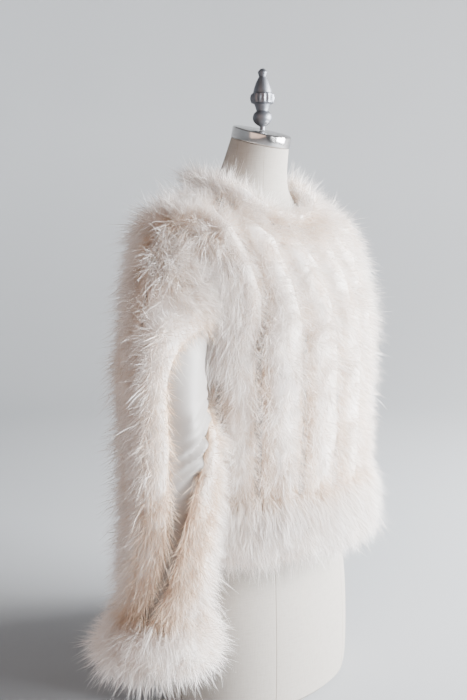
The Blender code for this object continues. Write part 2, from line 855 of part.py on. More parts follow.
def form_rings():
    levels = sorted({section.z for section in FORM_SECTIONS})
    levels += [(a + b) / 2 for a, b in zip(levels, levels[1:]) if b - a > FORM_RING_STEP]
    rings = []
    for z in sorted(levels):
        section = smooth_row(FORM_SECTIONS, z)
        turns = (2 * math.pi * k / FORM_SEGMENTS for k in range(FORM_SEGMENTS))
        middle = Vector((0, section.centre_y, z))
        lean = Matrix.Rotation(neck_lean(z), 3, "X")
        rings.append([middle + lean @ (on_section(section, turn) - middle) for turn in turns])
    return rings


def form_obstacle(rings):
    return obstacle(
        list(zip(*rings)), True, lambda z: Vector((0, smooth_row(FORM_SECTIONS, z).centre_y, z))
    )


def make_form(rings, finishes, collection):
    """The linen torso, its nickel neck cap and its pewter finial."""
    loft_object("form_torso", rings, finishes["linen"], collection)
    neck_top = Vector((0, NECK_TOP_Y, NECK_TOP_Z))
    axis = Matrix.Rotation(NECK_TILT, 3, "X") @ Vector((0, 0, 1))

    bpy.ops.mesh.primitive_cylinder_add(vertices=CAP_SEGMENTS, radius=CAP_RADIUS, depth=CAP_HEIGHT)
    cap = bpy.context.object
    cap.name = cap.data.name = "form_neck_cap"
    cap.data.materials.append(finishes["nickel"])
    cap.location = neck_top + axis * (CAP_HEIGHT / 2 + SEAT_GAP)
    cap.rotation_euler = (NECK_TILT, 0, 0)
    rim = cap.modifiers.new("rolled rim", "BEVEL")
    rim.width = CAP_BEVEL
    rim.segments = 2
    rim.limit_method = "ANGLE"
    for other in cap.users_collection:
        other.objects.unlink(cap)
    collection.objects.link(cap)

    outline = bpy.data.meshes.new("form_finial")
    points = [(step.radius, 0, step.height) for step in FINIAL_PROFILE]
    outline.from_pydata(points, [(i, i + 1) for i in range(len(points) - 1)], [])
    finial = new_object("form_finial", outline, finishes["pewter"], collection)
    turning = finial.modifiers.new("turned", "SCREW")
    turning.steps = turning.render_steps = FINIAL_STEPS
    turning.use_merge_vertices = True
    turning.merge_threshold = 0.00005
    above_cap = SEAT_GAP + STEM_RADIUS * math.tan(NECK_TILT)
    finial.location = neck_top + axis * (CAP_HEIGHT + SEAT_GAP) + Vector((0, 0, above_cap))


def make_finish(name, finish):
    material = bpy.data.materials.new(name)
    material.use_nodes = True
    shader = material.node_tree.nodes["Principled BSDF"]
    shader.inputs["Base Color"].default_value = (*finish.colour, 1.0)
    shader.inputs["Roughness"].default_value = finish.roughness
    shader.inputs["Metallic"].default_value = finish.metallic
    return material


def main():
    for obj in list(bpy.data.objects):
        bpy.data.objects.remove(obj)
    collection = bpy.data.collections.new("Marabou jacket")
    bpy.context.scene.collection.children.link(collection)
    finishes = {name: make_finish(name, finish) for name, finish in FINISHES.items()}

    rings = form_rings()
    make_form(rings, finishes, collection)
    places_of = {panel.name: panel_places(panel) for panel in PANELS}
    sleeves_of = {side: sleeve_places(side) for side in ARMS}
    sleeves = []
    for side, places in sleeves_of.items():
        grid = [[point for point, _ in column] for column in places]
        sleeves.append(obstacle(grid, True, lambda z, side=side: arm_middle(side, z)))
    make_body(places_of, sleeves, finishes, collection)
    make_hem_boa(places_of, sleeves, finishes, collection)
    make_neck_boa(finishes, collection)
    body, form = body_obstacle(places_of), form_obstacle(rings)
    for side, places in sleeves_of.items():
        make_sleeve(side, places, body, form, finishes, collection)


main()
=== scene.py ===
"""Marabou jacket on a dress form: the looks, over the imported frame."""

import math
from collections import namedtuple

import bpy
import numpy as np
from bpy.props import FloatProperty, FloatVectorProperty, IntProperty, PointerProperty
from mathutils import Matrix, Vector
from mathutils.bvhtree import BVHTree


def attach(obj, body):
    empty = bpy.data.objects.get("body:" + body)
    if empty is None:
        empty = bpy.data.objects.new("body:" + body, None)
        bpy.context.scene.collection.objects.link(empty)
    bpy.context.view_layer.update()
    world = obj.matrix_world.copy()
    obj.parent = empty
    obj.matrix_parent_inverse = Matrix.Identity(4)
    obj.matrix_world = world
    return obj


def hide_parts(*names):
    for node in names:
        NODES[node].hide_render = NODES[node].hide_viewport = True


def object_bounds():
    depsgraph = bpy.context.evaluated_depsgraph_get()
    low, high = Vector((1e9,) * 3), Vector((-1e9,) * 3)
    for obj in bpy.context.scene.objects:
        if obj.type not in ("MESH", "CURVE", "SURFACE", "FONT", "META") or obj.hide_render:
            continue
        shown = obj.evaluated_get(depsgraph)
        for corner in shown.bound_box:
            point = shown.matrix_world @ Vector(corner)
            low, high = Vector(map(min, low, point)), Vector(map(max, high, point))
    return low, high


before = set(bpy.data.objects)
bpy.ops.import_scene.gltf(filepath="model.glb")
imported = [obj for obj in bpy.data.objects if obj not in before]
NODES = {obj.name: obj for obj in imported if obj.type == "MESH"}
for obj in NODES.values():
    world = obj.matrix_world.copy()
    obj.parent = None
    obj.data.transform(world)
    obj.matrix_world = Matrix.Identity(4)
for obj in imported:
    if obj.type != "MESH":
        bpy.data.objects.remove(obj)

bl_info = {
    "name": "Marabou Jacket",
    "version": (1, 0, 0),
    "blender": (4, 5, 0),
    "location": "View3D > Sidebar > Jacket",
    "description": "Dresses the packed solids of a marabou jacket on its dress form",
    "category": "Object",
}

CAD_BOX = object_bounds()
ROOT = "root"
SEED = 41
UP = Vector((0.0, 0.0, 1.0))
MERGE_GAP = 0.00002
# A boa's corners this near its cloth are sewn, and the rest are this share of its surface
SEWN_GAP = 0.0012
OUTER_SHARE = 0.72
# How far down may stand past the CAD box, along X, Y and Z
PROUD = np.array((0.020, 0.017, 0.012))
# The side of a sleeve's outer rows beside the bare strip: how wide it is, how much shorter and how
# uneven its down is, and the height where the strip ends
BARE_SIDE_WIDTH = 0.018
BARE_SIDE_TRIM = 0.10
BARE_SIDE_RAGGED = 0.28
BARE_FROM_Z = 0.345
BARE_RUN_Z = 0.035
# How deep the down is in the groove below the strip
PARTING_FILL = 0.024
# How pale the down is, with painted shade: least in partings, most on rings and seams, the painted shade in
# # the groove, and how much less of that there is beside the strip
PAINTED_PARTING_SHADE = 0.80
RING_PALLOR = 0.93
GROOVE_SHADE = 0.5
STRIP_RELIEF = 0.6
# Lean of the down on seams, and tries for each feather there
SEAM_LEAN = 1.9
SEAM_TRIES = 8
# Down starts at the cord up to the first distance from it, and at the cloth after the second more
CORD_NEAR = 0.008
CORD_FAR = 0.030
# Lengths of the soft waves that part the down into tufts, patches of colour and lumps
TUFT_LENGTH = 0.022
PATCH_LENGTH = 0.045
LUMP_LENGTH = 0.016
# How pale barbs are for their height in the pile, darker deep in it as painted shade, and at their feet,
# middles
# # and tips besides, paler towards the tips as painted shade too
PAINTED_DEPTH_SHADE = 0.72
BARB_PALLOR = (0.0, 0.14, 0.28)
# How pale the undercoat is at the pile's face; painted shade darkens it towards the cloth
CORE_PALLOR = 0.86
# Least and most pile that the lean of a feather goes by
LEAN_PILE = (0.018, 0.040)
# How finely threads run along X, Y and Z: the satin's to a metre, the linen's to a thread's width
SATIN_STRETCH = (2600.0, 2600.0, 260.0)
WARP_STRETCH = (0.6, 0.6, 0.072)
WEFT_STRETCH = (0.06, 0.06, 0.6)
# Seams of the form's cover, in degrees from its back on either side
FORM_SEAMS = (0.0, 36.0, 90.0, 141.0)
# The finial's fluted collar: its height over the finial's foot, its half-height and its flutes
COLLAR_HEIGHT = 0.0445
COLLAR_RUN = 0.0052
FLUTES = 16

# Bare cloth beside a seam that the down runs on over: which panel, what it meets, a point inside the
# panel, the lowest height, how far from what it meets, the area and the pile
Seam = namedtuple("Seam", "cloth beside middle lowest reach area pile")
BODY_MIDDLE = (0.0, 0.02, 0.50)


def sleeve_seams(side, way, wrist_y):
    head = (way * 0.195, -0.02, 0.55)
    wrist = (way * 0.232, wrist_y, 0.20)
    return [
        Seam(f"sleeve_{side}", [f"front_{side}", "back"], head, 0.575, 0.065, 0.060, 0.033),
        Seam(f"sleeve_{side}", [f"cuff_boa_{side}"], wrist, 0.152, 0.022, 0.016, 0.036),
    ]


def body_seams(panel, side):
    return [
        Seam(panel, [f"sleeve_{side}"], BODY_MIDDLE, 0.500, 0.045, 0.036, 0.034),
        Seam(panel, ["hem_boa"], BODY_MIDDLE, 0.264, 0.034, 0.046, 0.033),
        Seam(panel, ["neck_boa"], BODY_MIDDLE, 0.640, 0.024, 0.010, 0.034),
    ]


# Which cloth each group of boas is sewn on, whether they run round an edge or leave a side bare, how
# far the down fills its partings and which way it leans
Trim = namedtuple("Trim", "piece boas cloths ring bare_sides fill lean seams")


def row_trim(piece, panel, first, last, seams, bare_sides=False):
    boas = [f"{panel}_boa_{number}" for number in range(first, last + 1)]
    return Trim(piece, boas, [panel], False, bare_sides, 0.021, 1.0, seams)


def ring_trim(piece, boa, cloths, lean):
    return Trim(piece, [boa], cloths, True, False, 0.016, lean, [])


BODY_TRIMS = (
    row_trim("fur_front_right", "front_right", 1, 4, body_seams("front_right", "right")),
    row_trim("fur_front_left", "front_left", 1, 4, body_seams("front_left", "left")),
    row_trim("fur_back_right", "back", 1, 4, body_seams("back", "right")),
    row_trim("fur_back_left", "back", 5, 8, body_seams("back", "left")),
)
SLEEVE_TRIMS = (
    row_trim("fur_sleeve_right", "sleeve_right", 1, 5, sleeve_seams("right", -1, -0.03), True),
    row_trim("fur_sleeve_left", "sleeve_left", 1, 5, sleeve_seams("left", 1, 0.085), True),
)
EDGE_TRIMS = (
    ring_trim("fur_neck", "neck_boa", ["front_right", "front_left", "back"], -0.25),
    ring_trim("fur_hem", "hem_boa", ["front_right", "front_left", "back"], 0.5),
    ring_trim("fur_cuff_right", "cuff_boa_right", ["sleeve_right"], 0.3),
    ring_trim("fur_cuff_left", "cuff_boa_left", ["sleeve_left"], 0.3),
)

# The flat cut of each satin panel: width, length and area, and the boa beside a sleeve's seam
Cut = namedtuple("Cut", "node width length area seam_boa")
CUTS = (
    Cut("front_right", 0.24, 0.50, 0.109, None),
    Cut("front_left", 0.24, 0.50, 0.109, None),
    Cut("back", 0.48, 0.50, 0.216, None),
    Cut("sleeve_right", 0.32, 0.56, 0.144, "sleeve_right_boa_1"),
    Cut("sleeve_left", 0.32, 0.56, 0.144, "sleeve_left_boa_1"),
)
# An edge is upright if this share of its length is
UPRIGHT = 0.7
# Where a sleeve stops hanging free, and the steps in which its middle is found
SLEEVE_TOP = 0.50
SLEEVE_STEP = 0.012
# The gathers: how far from the seam, at what height, over what run, and their slant to the seam
PUCKER_REACH = 0.026
PUCKER_Z = 0.415
PUCKER_RUN = 0.055
PUCKER_SLANT = 260.0
FOLDS = 5
FOLD_TWIST = 9.0

# Lights: place and target in metres to the right, forward and up from the form's foot, as the camera
# sees it, and the light's width
Lamp = namedtuple("Lamp", "name place target width")
WINDOW = Lamp("window", (1.95, -0.3, 0.95), (0.0, 0.0, 0.55), 1.4)
FILL = Lamp("fill", (-0.7, -2.0, 1.1), (0.0, 0.0, 0.45), 1.6)
WALL_WASH = Lamp("wall_wash", (2.2, 0.5, 1.7), (1.2, 3.4, 0.5), 1.2)
SKY_COLOUR = (0.97, 0.975, 1.0, 1.0)
# The backdrop: radius of its flat floor, radius of the sweep above it and height of its wall
FLOOR_RADIUS = 2.2
SWEEP_RADIUS = 2.2
SWEEP_STEPS = 24
WALL_HEIGHT = 4.0


class StageSettings(bpy.types.PropertyGroup):
    """Camera, light and backdrop."""

    camera_turn: FloatProperty(
        name="Camera turn", description="Angle of the view round the form, from its front",
        default=0.907677, subtype="ANGLE")
    camera_distance: FloatProperty(
        name="Camera distance", description="From the form's middle to the camera, on the floor",
        default=1.49736, unit="LENGTH")
    camera_height: FloatProperty(
        name="Camera height", description="Height of the camera", default=0.69796, unit="LENGTH")
    camera_pitch: FloatProperty(
        name="Camera pitch", description="How far the camera looks down", default=0.130375, subtype="ANGLE")
    camera_yaw: FloatProperty(
        name="Camera yaw", description="How far the camera looks to the left of the form's middle",
        default=0.022147, subtype="ANGLE")
    lens: FloatProperty(
        name="Lens", description="Focal length on a 36 mm sensor, in millimetres", default=52.29)
    wall_colour: FloatVectorProperty(
        name="Wall", description="Colour of the backdrop", subtype="COLOR",
        default=(0.40, 0.412, 0.427))
    floor_colour: FloatVectorProperty(
        name="Floor", description="Colour of the floor, below the wall's", subtype="COLOR",
        default=(0.325, 0.334, 0.345))
    key_power: FloatProperty(
        name="Window light", description="Strength of the large light on the right, in watts", default=245.0)
    key_colour: FloatVectorProperty(
        name="Window colour", description="Colour of the large light on the right", subtype="COLOR",
        default=(0.92, 0.96, 1.0))
    key_spread: FloatProperty(
        name="Window spread", description="How wide the large light shines", default=2.6, subtype="ANGLE")
    fill_power: FloatProperty(
        name="Fill light", description="Strength of the weak light on the left, in watts", default=15.0)
    fill_colour: FloatVectorProperty(
        name="Fill colour", description="Colour of the weak light on the left", subtype="COLOR",
        default=(1.0, 0.68, 0.53))
    wash_power: FloatProperty(
        name="Wall light", description="Strength of the light along the wall, in watts", default=400.0)
    sky: FloatProperty(name="Sky", description="Strength of the light from above", default=0.27)


class FormSettings(bpy.types.PropertyGroup):
    """The dress form."""

    linen: FloatVectorProperty(
        name="Linen", description="Colour of the form's cover", subtype="COLOR", default=(0.37, 0.335, 0.295))
    seam_shade: FloatVectorProperty(
        name="Seam shade", description="How dark the seams of the cover are", subtype="COLOR",
        default=(0.66, 0.63, 0.60))
    weave: FloatProperty(
        name="Weave", description="Distance between two threads", default=0.0009, unit="LENGTH")
    rim: FloatProperty(
        name="Rim", description="Width of the neck cap's rounded rim", default=0.0014, unit="LENGTH")
    flute: FloatProperty(
        name="Flute", description="Depth of the flutes in the finial's collar", default=0.0016,
        unit="LENGTH")
    nickel: FloatVectorProperty(
        name="Nickel", description="Colour of the neck cap", subtype="COLOR", default=(0.56, 0.54, 0.52))
    pewter: FloatVectorProperty(
        name="Pewter", description="Colour of the finial", subtype="COLOR", default=(0.20, 0.205, 0.225))


class SatinSettings(bpy.types.PropertyGroup):
    """The satin under the boas."""

    colour: FloatVectorProperty(
        name="Satin", description="Colour of the cloth", subtype="COLOR", default=(0.33, 0.305, 0.285))
    pucker: FloatProperty(
        name="Pucker", description="Depth of the gathers beside a sleeve's seam", default=0.0048,
        unit="LENGTH")
    pucker_length: FloatProperty(
        name="Pucker length", description="From one gather to the next", default=0.027, unit="LENGTH")
    fold: FloatProperty(
        name="Fold", description="Depth of the sleeve's long folds", default=0.0018, unit="LENGTH")


class BoaSettings(bpy.types.PropertyGroup):
    """The marabou boas."""

    barbs: IntProperty(
        name="Barbs", description="Barbs on the whole jacket", default=465000, min=1000)
    barbs_to_feather: IntProperty(
        name="Barbs to a feather", description="Barbs that share one quill", default=4, min=2)
    wisps: FloatProperty(
        name="Wisps", description="Share of the barbs that are long and bowed", default=0.13)
    barb_width: FloatProperty(
        name="Barb width", description="Width of a barb at its foot", default=0.00049, unit="LENGTH")
    spread: FloatProperty(
        name="Spread", description="How far the barbs of a feather fan out", default=0.0062, unit="LENGTH")
    droop: FloatProperty(
        name="Droop", description="How far a barb leans down, as a share of the pile", default=0.42)
    ruffle: FloatProperty(
        name="Ruffle", description="How far feathers lean every way, as a share of the pile", default=0.38)
    # Painted shade: down lower than this over the cloth is darker
    shade_depth: FloatProperty(
        name="Shade depth", description="Least height over the cloth where the down is palest", default=0.020,
        unit="LENGTH")
    pile: FloatProperty(
        name="Pile", description="Where feathers end, as a share of the solid's depth", default=0.92)
    tufting: FloatProperty(
        name="Tufting", description="How much the pile's depth varies from tuft to tuft", default=0.10)
    patches: FloatProperty(
        name="Patches", description="How much deeper in colour the down is in patches", default=0.06)
    core: FloatProperty(
        name="Undercoat", description="Depth of the dense down, as a share of the pile", default=0.66)
    # The down's colours from the tips inwards; the darker ones deep in the pile are painted shade
    tip: FloatVectorProperty(
        name="Tips", description="Colour of the barbs' tips", subtype="COLOR", default=(0.98, 0.968, 0.96))
    middle: FloatVectorProperty(
        name="Middle", description="Colour half-way along the barbs", subtype="COLOR",
        default=(0.92, 0.86, 0.81))
    under: FloatVectorProperty(
        name="Under", description="Colour of the undercoat", subtype="COLOR", default=(0.81, 0.63, 0.47))
    foot: FloatVectorProperty(
        name="Foot", description="Colour deep in the down", subtype="COLOR", default=(0.64, 0.45, 0.30))


class JacketSettings(bpy.types.PropertyGroup):
    """Everything that can be changed."""

    stage: PointerProperty(type=StageSettings)
    form: PointerProperty(type=FormSettings)
    satin: PointerProperty(type=SatinSettings)
    boa: PointerProperty(type=BoaSettings)


# Handling pieces


def settings():
    return bpy.context.scene.jacket


def take(piece):
    """Makes a piece the only one selected."""
    bpy.ops.object.select_all(action="DESELECT")
    piece.select_set(True)
    bpy.context.view_layer.objects.active = piece


def node_copy(node, name):
    """A copy of a CAD node's mesh as a new piece, merged and turned into quads."""
    piece = bpy.data.objects.new(name, NODES[node].data.copy())
    bpy.context.scene.collection.objects.link(piece)
    piece.data.materials.clear()
    take(piece)
    bpy.ops.mesh.customdata_custom_splitnormals_clear()
    bpy.ops.object.mode_set(mode="EDIT")
    bpy.ops.mesh.select_all(action="SELECT")
    bpy.ops.mesh.remove_doubles(threshold=MERGE_GAP)
    bpy.ops.mesh.tris_convert_to_quads(face_threshold=math.radians(60), shape_threshold=math.radians(60))
    bpy.ops.object.mode_set(mode="OBJECT")
    return piece


def crease_edges(piece, angle):
    """Keeps the edges sharper than angle when the piece is subdivided."""
    take(piece)
    bpy.ops.object.mode_set(mode="EDIT")
    bpy.ops.mesh.select_mode(type="EDGE")
    bpy.ops.mesh.select_all(action="DESELECT")
    bpy.ops.mesh.edges_select_sharp(sharpness=angle)
    bpy.ops.transform.edge_crease(value=1.0)
    bpy.ops.mesh.select_mode(type="VERT")
    bpy.ops.object.mode_set(mode="OBJECT")


def subdivide(piece, levels):
    """Rounds a piece with a subdivision surface."""
    take(piece)
    surface = piece.modifiers.new("Round", "SUBSURF")
    surface.levels = levels
    surface.render_levels = levels
    bpy.ops.object.modifier_apply(modifier=surface.name)


def smooth(piece, angle):
    take(piece)
    bpy.ops.object.shade_smooth_by_angle(angle=angle)


def corners_of(mesh):
    corners = np.empty(len(mesh.vertices) * 3)
    mesh.vertices.foreach_get("co", corners)
    return corners.reshape(-1, 3)


def move_corners(mesh, corners):
    mesh.vertices.foreach_set("co", corners.ravel())
    mesh.update()


def settle(piece, finish, nodes):
    """Puts a finished piece in the place of its CAD nodes."""
    piece.data.materials.clear()
    piece.data.materials.append(finish)
    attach(piece, ROOT)
    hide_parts(*nodes)


def spun(name, profile, steps):
    """A turned piece about the Z axis, from (radius, height) pairs."""
    mesh = bpy.data.meshes.new(name)
    points = [(radius, 0.0, height) for radius, height in profile]
    mesh.from_pydata(points, [(n, n + 1) for n in range(len(points) - 1)], [])
    piece = bpy.data.objects.new(name, mesh)
    bpy.context.scene.collection.objects.link(piece)
    take(piece)
    bpy.ops.object.mode_set(mode="EDIT")
    bpy.ops.mesh.select_all(action="SELECT")
    bpy.ops.mesh.spin(steps=steps, angle=2 * math.pi, center=(0, 0, 0), axis=(0, 0, 1))
    bpy.ops.mesh.select_all(action="SELECT")
    bpy.ops.mesh.remove_doubles(threshold=MERGE_GAP)
    bpy.ops.mesh.normals_make_consistent(inside=False)
    bpy.ops.object.mode_set(mode="OBJECT")
    return piece


# Finishes


def new_finish(name, roughness):
    """A material, its nodes and its Principled shader's inputs."""
    finish = bpy.data.materials.new(name)
    finish.use_nodes = True
    shader = finish.node_tree.nodes["Principled BSDF"].inputs
    shader["Roughness"].default_value = roughness
    return finish, finish.node_tree, shader


def object_place(tree):
    return tree.nodes.new("ShaderNodeTexCoord").outputs["Object"]


def add_node(tree, kind, *sources, **values):
    """A shader node's outputs, with its properties set and its inputs set or linked."""
    node = tree.nodes.new(kind)
    given = list(zip(node.inputs, sources))
    for key, value in values.items():
        if hasattr(node, key):
            setattr(node, key, value)
        else:
            given.append((node.inputs[key.replace("_", " ")], value))
    for socket, value in given:
        if isinstance(value, bpy.types.NodeSocket):
            tree.links.new(value, socket)
        else:
            socket.default_value = value
    return node.outputs


def maths(tree, operation, *sources):
    return add_node(tree, "ShaderNodeMath", *sources, operation=operation)["Value"]


def colour_steps(tree, factor, steps):
    """A colour ramp from (place, colour) pairs."""
    ramp = tree.nodes.new("ShaderNodeValToRGB")
    elements = ramp.color_ramp.elements
    while len(elements) < len(steps):
        elements.new(0.5)
    for element, (place, colour) in zip(elements, steps):
        element.position = place
        element.color = (*colour, 1.0)
    tree.links.new(factor, ramp.inputs["Fac"])
    return ramp.outputs["Color"]


def multiplied(tree, first, second):
    mix = add_node(
        tree, "ShaderNodeMix", data_type="RGBA", blend_type="MULTIPLY", Factor=1.0, A=first, B=second)
    return mix["Result"]


def scaled(colour, share):
    return (*(min(1.0, value * share) for value in colour), 1.0)


def new_group(name, inputs, outputs):
    """An empty shader node group, with what it is given and what it puts out."""
    group = bpy.data.node_groups.new(name, "ShaderNodeTree")
    for way, sockets in (("INPUT", inputs), ("OUTPUT", outputs)):
        for socket, kind in sockets.items():
            group.interface.new_socket(socket, in_out=way, socket_type=f"NodeSocket{kind}")
    return group, group.nodes.new("NodeGroupInput").outputs, group.nodes.new("NodeGroupOutput").inputs


def clouding_group(name):
    """A soft clouding: a colour between two, and the cloud itself as a value."""
    group, given, out = new_group(
        name,
        {"Vector": "Vector", "Scale": "Float", "Detail": "Float", "Roughness": "Float", "From": "Float",
         "To": "Float", "Dark": "Color", "Light": "Color"},
        {"Colour": "Color", "Cloud": "Float"})
    cloud = add_node(
        group, "ShaderNodeTexNoise", Vector=given["Vector"], Scale=given["Scale"], Detail=given["Detail"],
        Roughness=given["Roughness"])["Fac"]
    share = add_node(
        group, "ShaderNodeMapRange", Value=cloud, From_Min=given["From"], From_Max=given["To"])["Result"]
    colour = add_node(
        group, "ShaderNodeMix", data_type="RGBA", Factor=share, A=given["Dark"], B=given["Light"])["Result"]
    group.links.new(colour, out["Colour"])
    group.links.new(cloud, out["Cloud"])
    return group


def threads_group(name):
    """Threads: a noise drawn out along the cloth."""
    group, given, out = new_group(
        name, {"Vector": "Vector", "Stretch": "Vector", "Detail": "Float"}, {"Thread": "Float"})
    drawn = add_node(
        group, "ShaderNodeVectorMath", given["Vector"], given["Stretch"], operation="MULTIPLY")["Vector"]
    thread = add_node(group, "ShaderNodeTexNoise", Vector=drawn, Scale=1.0, Detail=given["Detail"])["Fac"]
    group.links.new(thread, out["Thread"])
    return group


EFFECTS = {"clouding": clouding_group, "threads": threads_group}


def effect(tree, name, **values):
    """A node group in a material, with its own values."""
    group = bpy.data.node_groups.get(name) or EFFECTS[name](name)
    return add_node(tree, "ShaderNodeGroup", node_tree=group, **values)


def marabou_finish():
    """Down, with painted shade: tan deep in the pile, cream further out, nearly white at the tips."""
    boa = settings().boa
    finish, tree, shader = new_finish("marabou_down", 0.75)
    reach, tint = (
        add_node(tree, "ShaderNodeAttribute", attribute_name=name)["Fac"] for name in ("reach", "tint"))
    # The reach attribute sets how far up this ramp a point is; its low end is painted shade deep in the pile
    depth = colour_steps(tree, reach, (
        (0.0, boa.foot), (0.30, boa.under), (0.58, boa.middle), (0.95, boa.tip)))
    shade = colour_steps(tree, tint, (
        (0.0, (0.89, 0.85, 0.82)), (0.45, (0.975, 0.96, 0.95)), (1.0, (1.0, 1.0, 1.0))))
    tree.links.new(multiplied(tree, depth, shade), shader["Base Color"])
    shader["Specular IOR Level"].default_value = 0.15
    shader["Sheen Weight"].default_value = 0.35
    shader["Sheen Roughness"].default_value = 0.6
    return finish


def satin_finish():
    """Satin: fine floats along the cloth and a soft gloss."""
    satin = settings().satin
    finish, tree, shader = new_finish("satin", 0.34)
    place = object_place(tree)
    thread = effect(tree, "threads", Vector=place, Stretch=SATIN_STRETCH, Detail=2.0)["Thread"]
    cloud = effect(
        tree, "clouding", Vector=place, Scale=38.0, Detail=3.0, Roughness=0.5, From=0.3, To=0.7,
        Dark=scaled(satin.colour, 0.93), Light=scaled(satin.colour, 1.05))
    tree.links.new(cloud["Colour"], shader["Base Color"])
    gloss = add_node(tree, "ShaderNodeMapRange", Value=thread, To_Min=0.36, To_Max=0.50)
    tree.links.new(gloss["Result"], shader["Roughness"])
    bump = add_node(tree, "ShaderNodeBump", Strength=0.25, Distance=0.0003, Height=thread)
    tree.links.new(bump["Normal"], shader["Normal"])
    shader["Specular IOR Level"].default_value = 0.35
    shader["Sheen Weight"].default_value = 0.15
    return finish


def seam_lines(tree, place):
    """1 on the form's cover and 0 on the seams between its panels, which run up the form."""
    split = add_node(tree, "ShaderNodeSeparateXYZ", Vector=place)
    side = maths(tree, "ABSOLUTE", maths(tree, "ARCTAN2", split["X"], split["Y"]))
    gaps = [maths(tree, "ABSOLUTE", maths(tree, "SUBTRACT", side, math.radians(seam))) for seam in FORM_SEAMS]
    nearest = gaps[0]
    for gap in gaps[1:]:
        nearest = maths(tree, "MINIMUM", nearest, gap)
    return add_node(
        tree, "ShaderNodeMapRange", interpolation_type="SMOOTHSTEP", Value=nearest, From_Min=0.002,
        From_Max=0.010)["Result"]


def linen_finish():
    """The form's cover: a plain weave with slubs and the sewn seams between its panels."""
    form = settings().form
    finish, tree, shader = new_finish("form_linen", 0.85)
    place = object_place(tree)
    warp, weft = (
        effect(tree, "threads", Vector=place, Stretch=Vector(run) / form.weave, Detail=3.0)["Thread"]
        for run in (WARP_STRETCH, WEFT_STRETCH))
    cloth = maths(tree, "MULTIPLY", maths(tree, "ADD", warp, weft), 0.5)
    base = Vector(form.linen)
    colour = colour_steps(tree, cloth, ((0.32, base * 0.90), (0.5, base), (0.68, base * 1.06)))
    seams = seam_lines(tree, place)
    seam_colour = colour_steps(tree, seams, ((0.0, form.seam_shade), (1.0, (1.0, 1.0, 1.0))))
    tree.links.new(multiplied(tree, colour, seam_colour), shader["Base Color"])
    relief = maths(tree, "MULTIPLY_ADD", seams, 3.0, cloth)
    bump = add_node(tree, "ShaderNodeBump", Strength=0.35, Distance=0.0004, Height=relief)
    tree.links.new(bump["Normal"], shader["Normal"])
    return finish


def metal_finish(name, colour, roughness, spots):
    """A metal with a faint clouding of its gloss."""
    finish, tree, shader = new_finish(name, roughness)
    place = object_place(tree)
    cloud = effect(
        tree, "clouding", Vector=place, Scale=spots, Detail=5.0, Roughness=0.6, From=0.3, To=0.72,
        Dark=scaled(colour, 0.82), Light=scaled(colour, 1.1))
    tree.links.new(cloud["Colour"], shader["Base Color"])
    gloss = add_node(
        tree, "ShaderNodeMapRange", Value=cloud["Cloud"], To_Min=roughness * 0.75, To_Max=roughness * 1.4)
    tree.links.new(gloss["Result"], shader["Roughness"])
    shader["Metallic"].default_value = 1.0
    return finish


def wall_finish():
    """Matt paint, darker on the floor than on the wall."""
    stage = settings().stage
    finish, tree, shader = new_finish("painted_wall", 0.9)
    place = object_place(tree)
    cloud = effect(
        tree, "clouding", Vector=place, Scale=1.4, Detail=2.0, Roughness=0.5, From=0.3, To=0.7,
        Dark=scaled(stage.wall_colour, 0.98), Light=scaled(stage.wall_colour, 1.02))
    height = add_node(tree, "ShaderNodeSeparateXYZ", Vector=place)["Z"]
    rise = add_node(
        tree, "ShaderNodeMapRange", interpolation_type="SMOOTHSTEP", Value=height, From_Max=1.2)
    sweep = add_node(
        tree, "ShaderNodeMix", data_type="RGBA", Factor=rise["Result"], A=(*stage.floor_colour, 1.0),
        B=cloud["Colour"])
    tree.links.new(sweep["Result"], shader["Base Color"])
    return finish


# The marabou

# Where the barbs of a kind start and end between the cord and the pile's face, and how far they bow
BarbKind = namedtuple("BarbKind", "foot tip bow")
DOWN = BarbKind((0.42, 0.74), (0.76, 1.04), 0.0)
WISP = BarbKind((0.35, 0.70), (0.90, 1.22), 0.08)
SEAM_DOWN = BarbKind((0.12, 0.60), (0.74, 1.02), 0.0)


def node_mesh(node):
    """A CAD node's corners and triangles, with the doubled corners merged."""
    mesh = NODES[node].data
    mesh.calc_loop_triangles()
    faces = np.empty(len(mesh.loop_triangles) * 3, dtype=int)
    mesh.loop_triangles.foreach_get("vertices", faces)
    corners, places = np.unique(corners_of(mesh).round(6), axis=0, return_inverse=True)
    return corners, places.ravel()[faces].reshape(-1, 3)


def cloth_tree(cloths):
    """A search tree over the satin that a boa is sewn on."""
    corners = []
    faces = []
    for cloth in cloths:
        points, triangles = node_mesh(cloth)
        faces.extend((triangles + len(corners)).tolist())
        corners.extend(points.tolist())
    return BVHTree.FromPolygons(corners, faces)


def nearest_on_line(points, line, ring):
    """How far along a line each point lies, and the line's nearest points."""
    starts = line if ring else line[:-1]
    ends = np.roll(line, -1, axis=0) if ring else line[1:]
    runs = ends - starts
    lengths = np.linalg.norm(runs, axis=1)
    shares = np.einsum("psk,sk->ps", points[:, None] - starts, runs) / lengths ** 2
    shares = shares.clip(0.0, 1.0)
    spots = starts + shares[..., None] * runs
    gaps = np.linalg.norm(points[:, None] - spots, axis=2)
    best = gaps.argmin(axis=1)
    rows = np.arange(len(points))
    along = np.concatenate(([0.0], np.cumsum(lengths)))[best] + shares[rows, best] * lengths[best]
    return along, spots[rows, best]


def cord_line(sewn, ring):
    """The line that a boa's cord follows, from the points where the boa meets the cloth."""
    if ring:
        middle = sewn.mean(axis=0)
        along = np.arctan2(sewn[:, 1] - middle[1], sewn[:, 0] - middle[0])
    else:
        along = sewn[:, 2]
    stations = max(5, len(sewn) // 4)
    for _ in range(3):
        groups = np.array_split(np.argsort(along), stations)
        line = np.array([sewn[group].mean(axis=0) for group in groups])
        along = nearest_on_line(sewn, line, ring)[0]
    return line


def face_areas(corners, faces):
    a, b, c = corners[faces].transpose(1, 0, 2)
    return np.linalg.norm(np.cross(b - a, c - a), axis=1) / 2


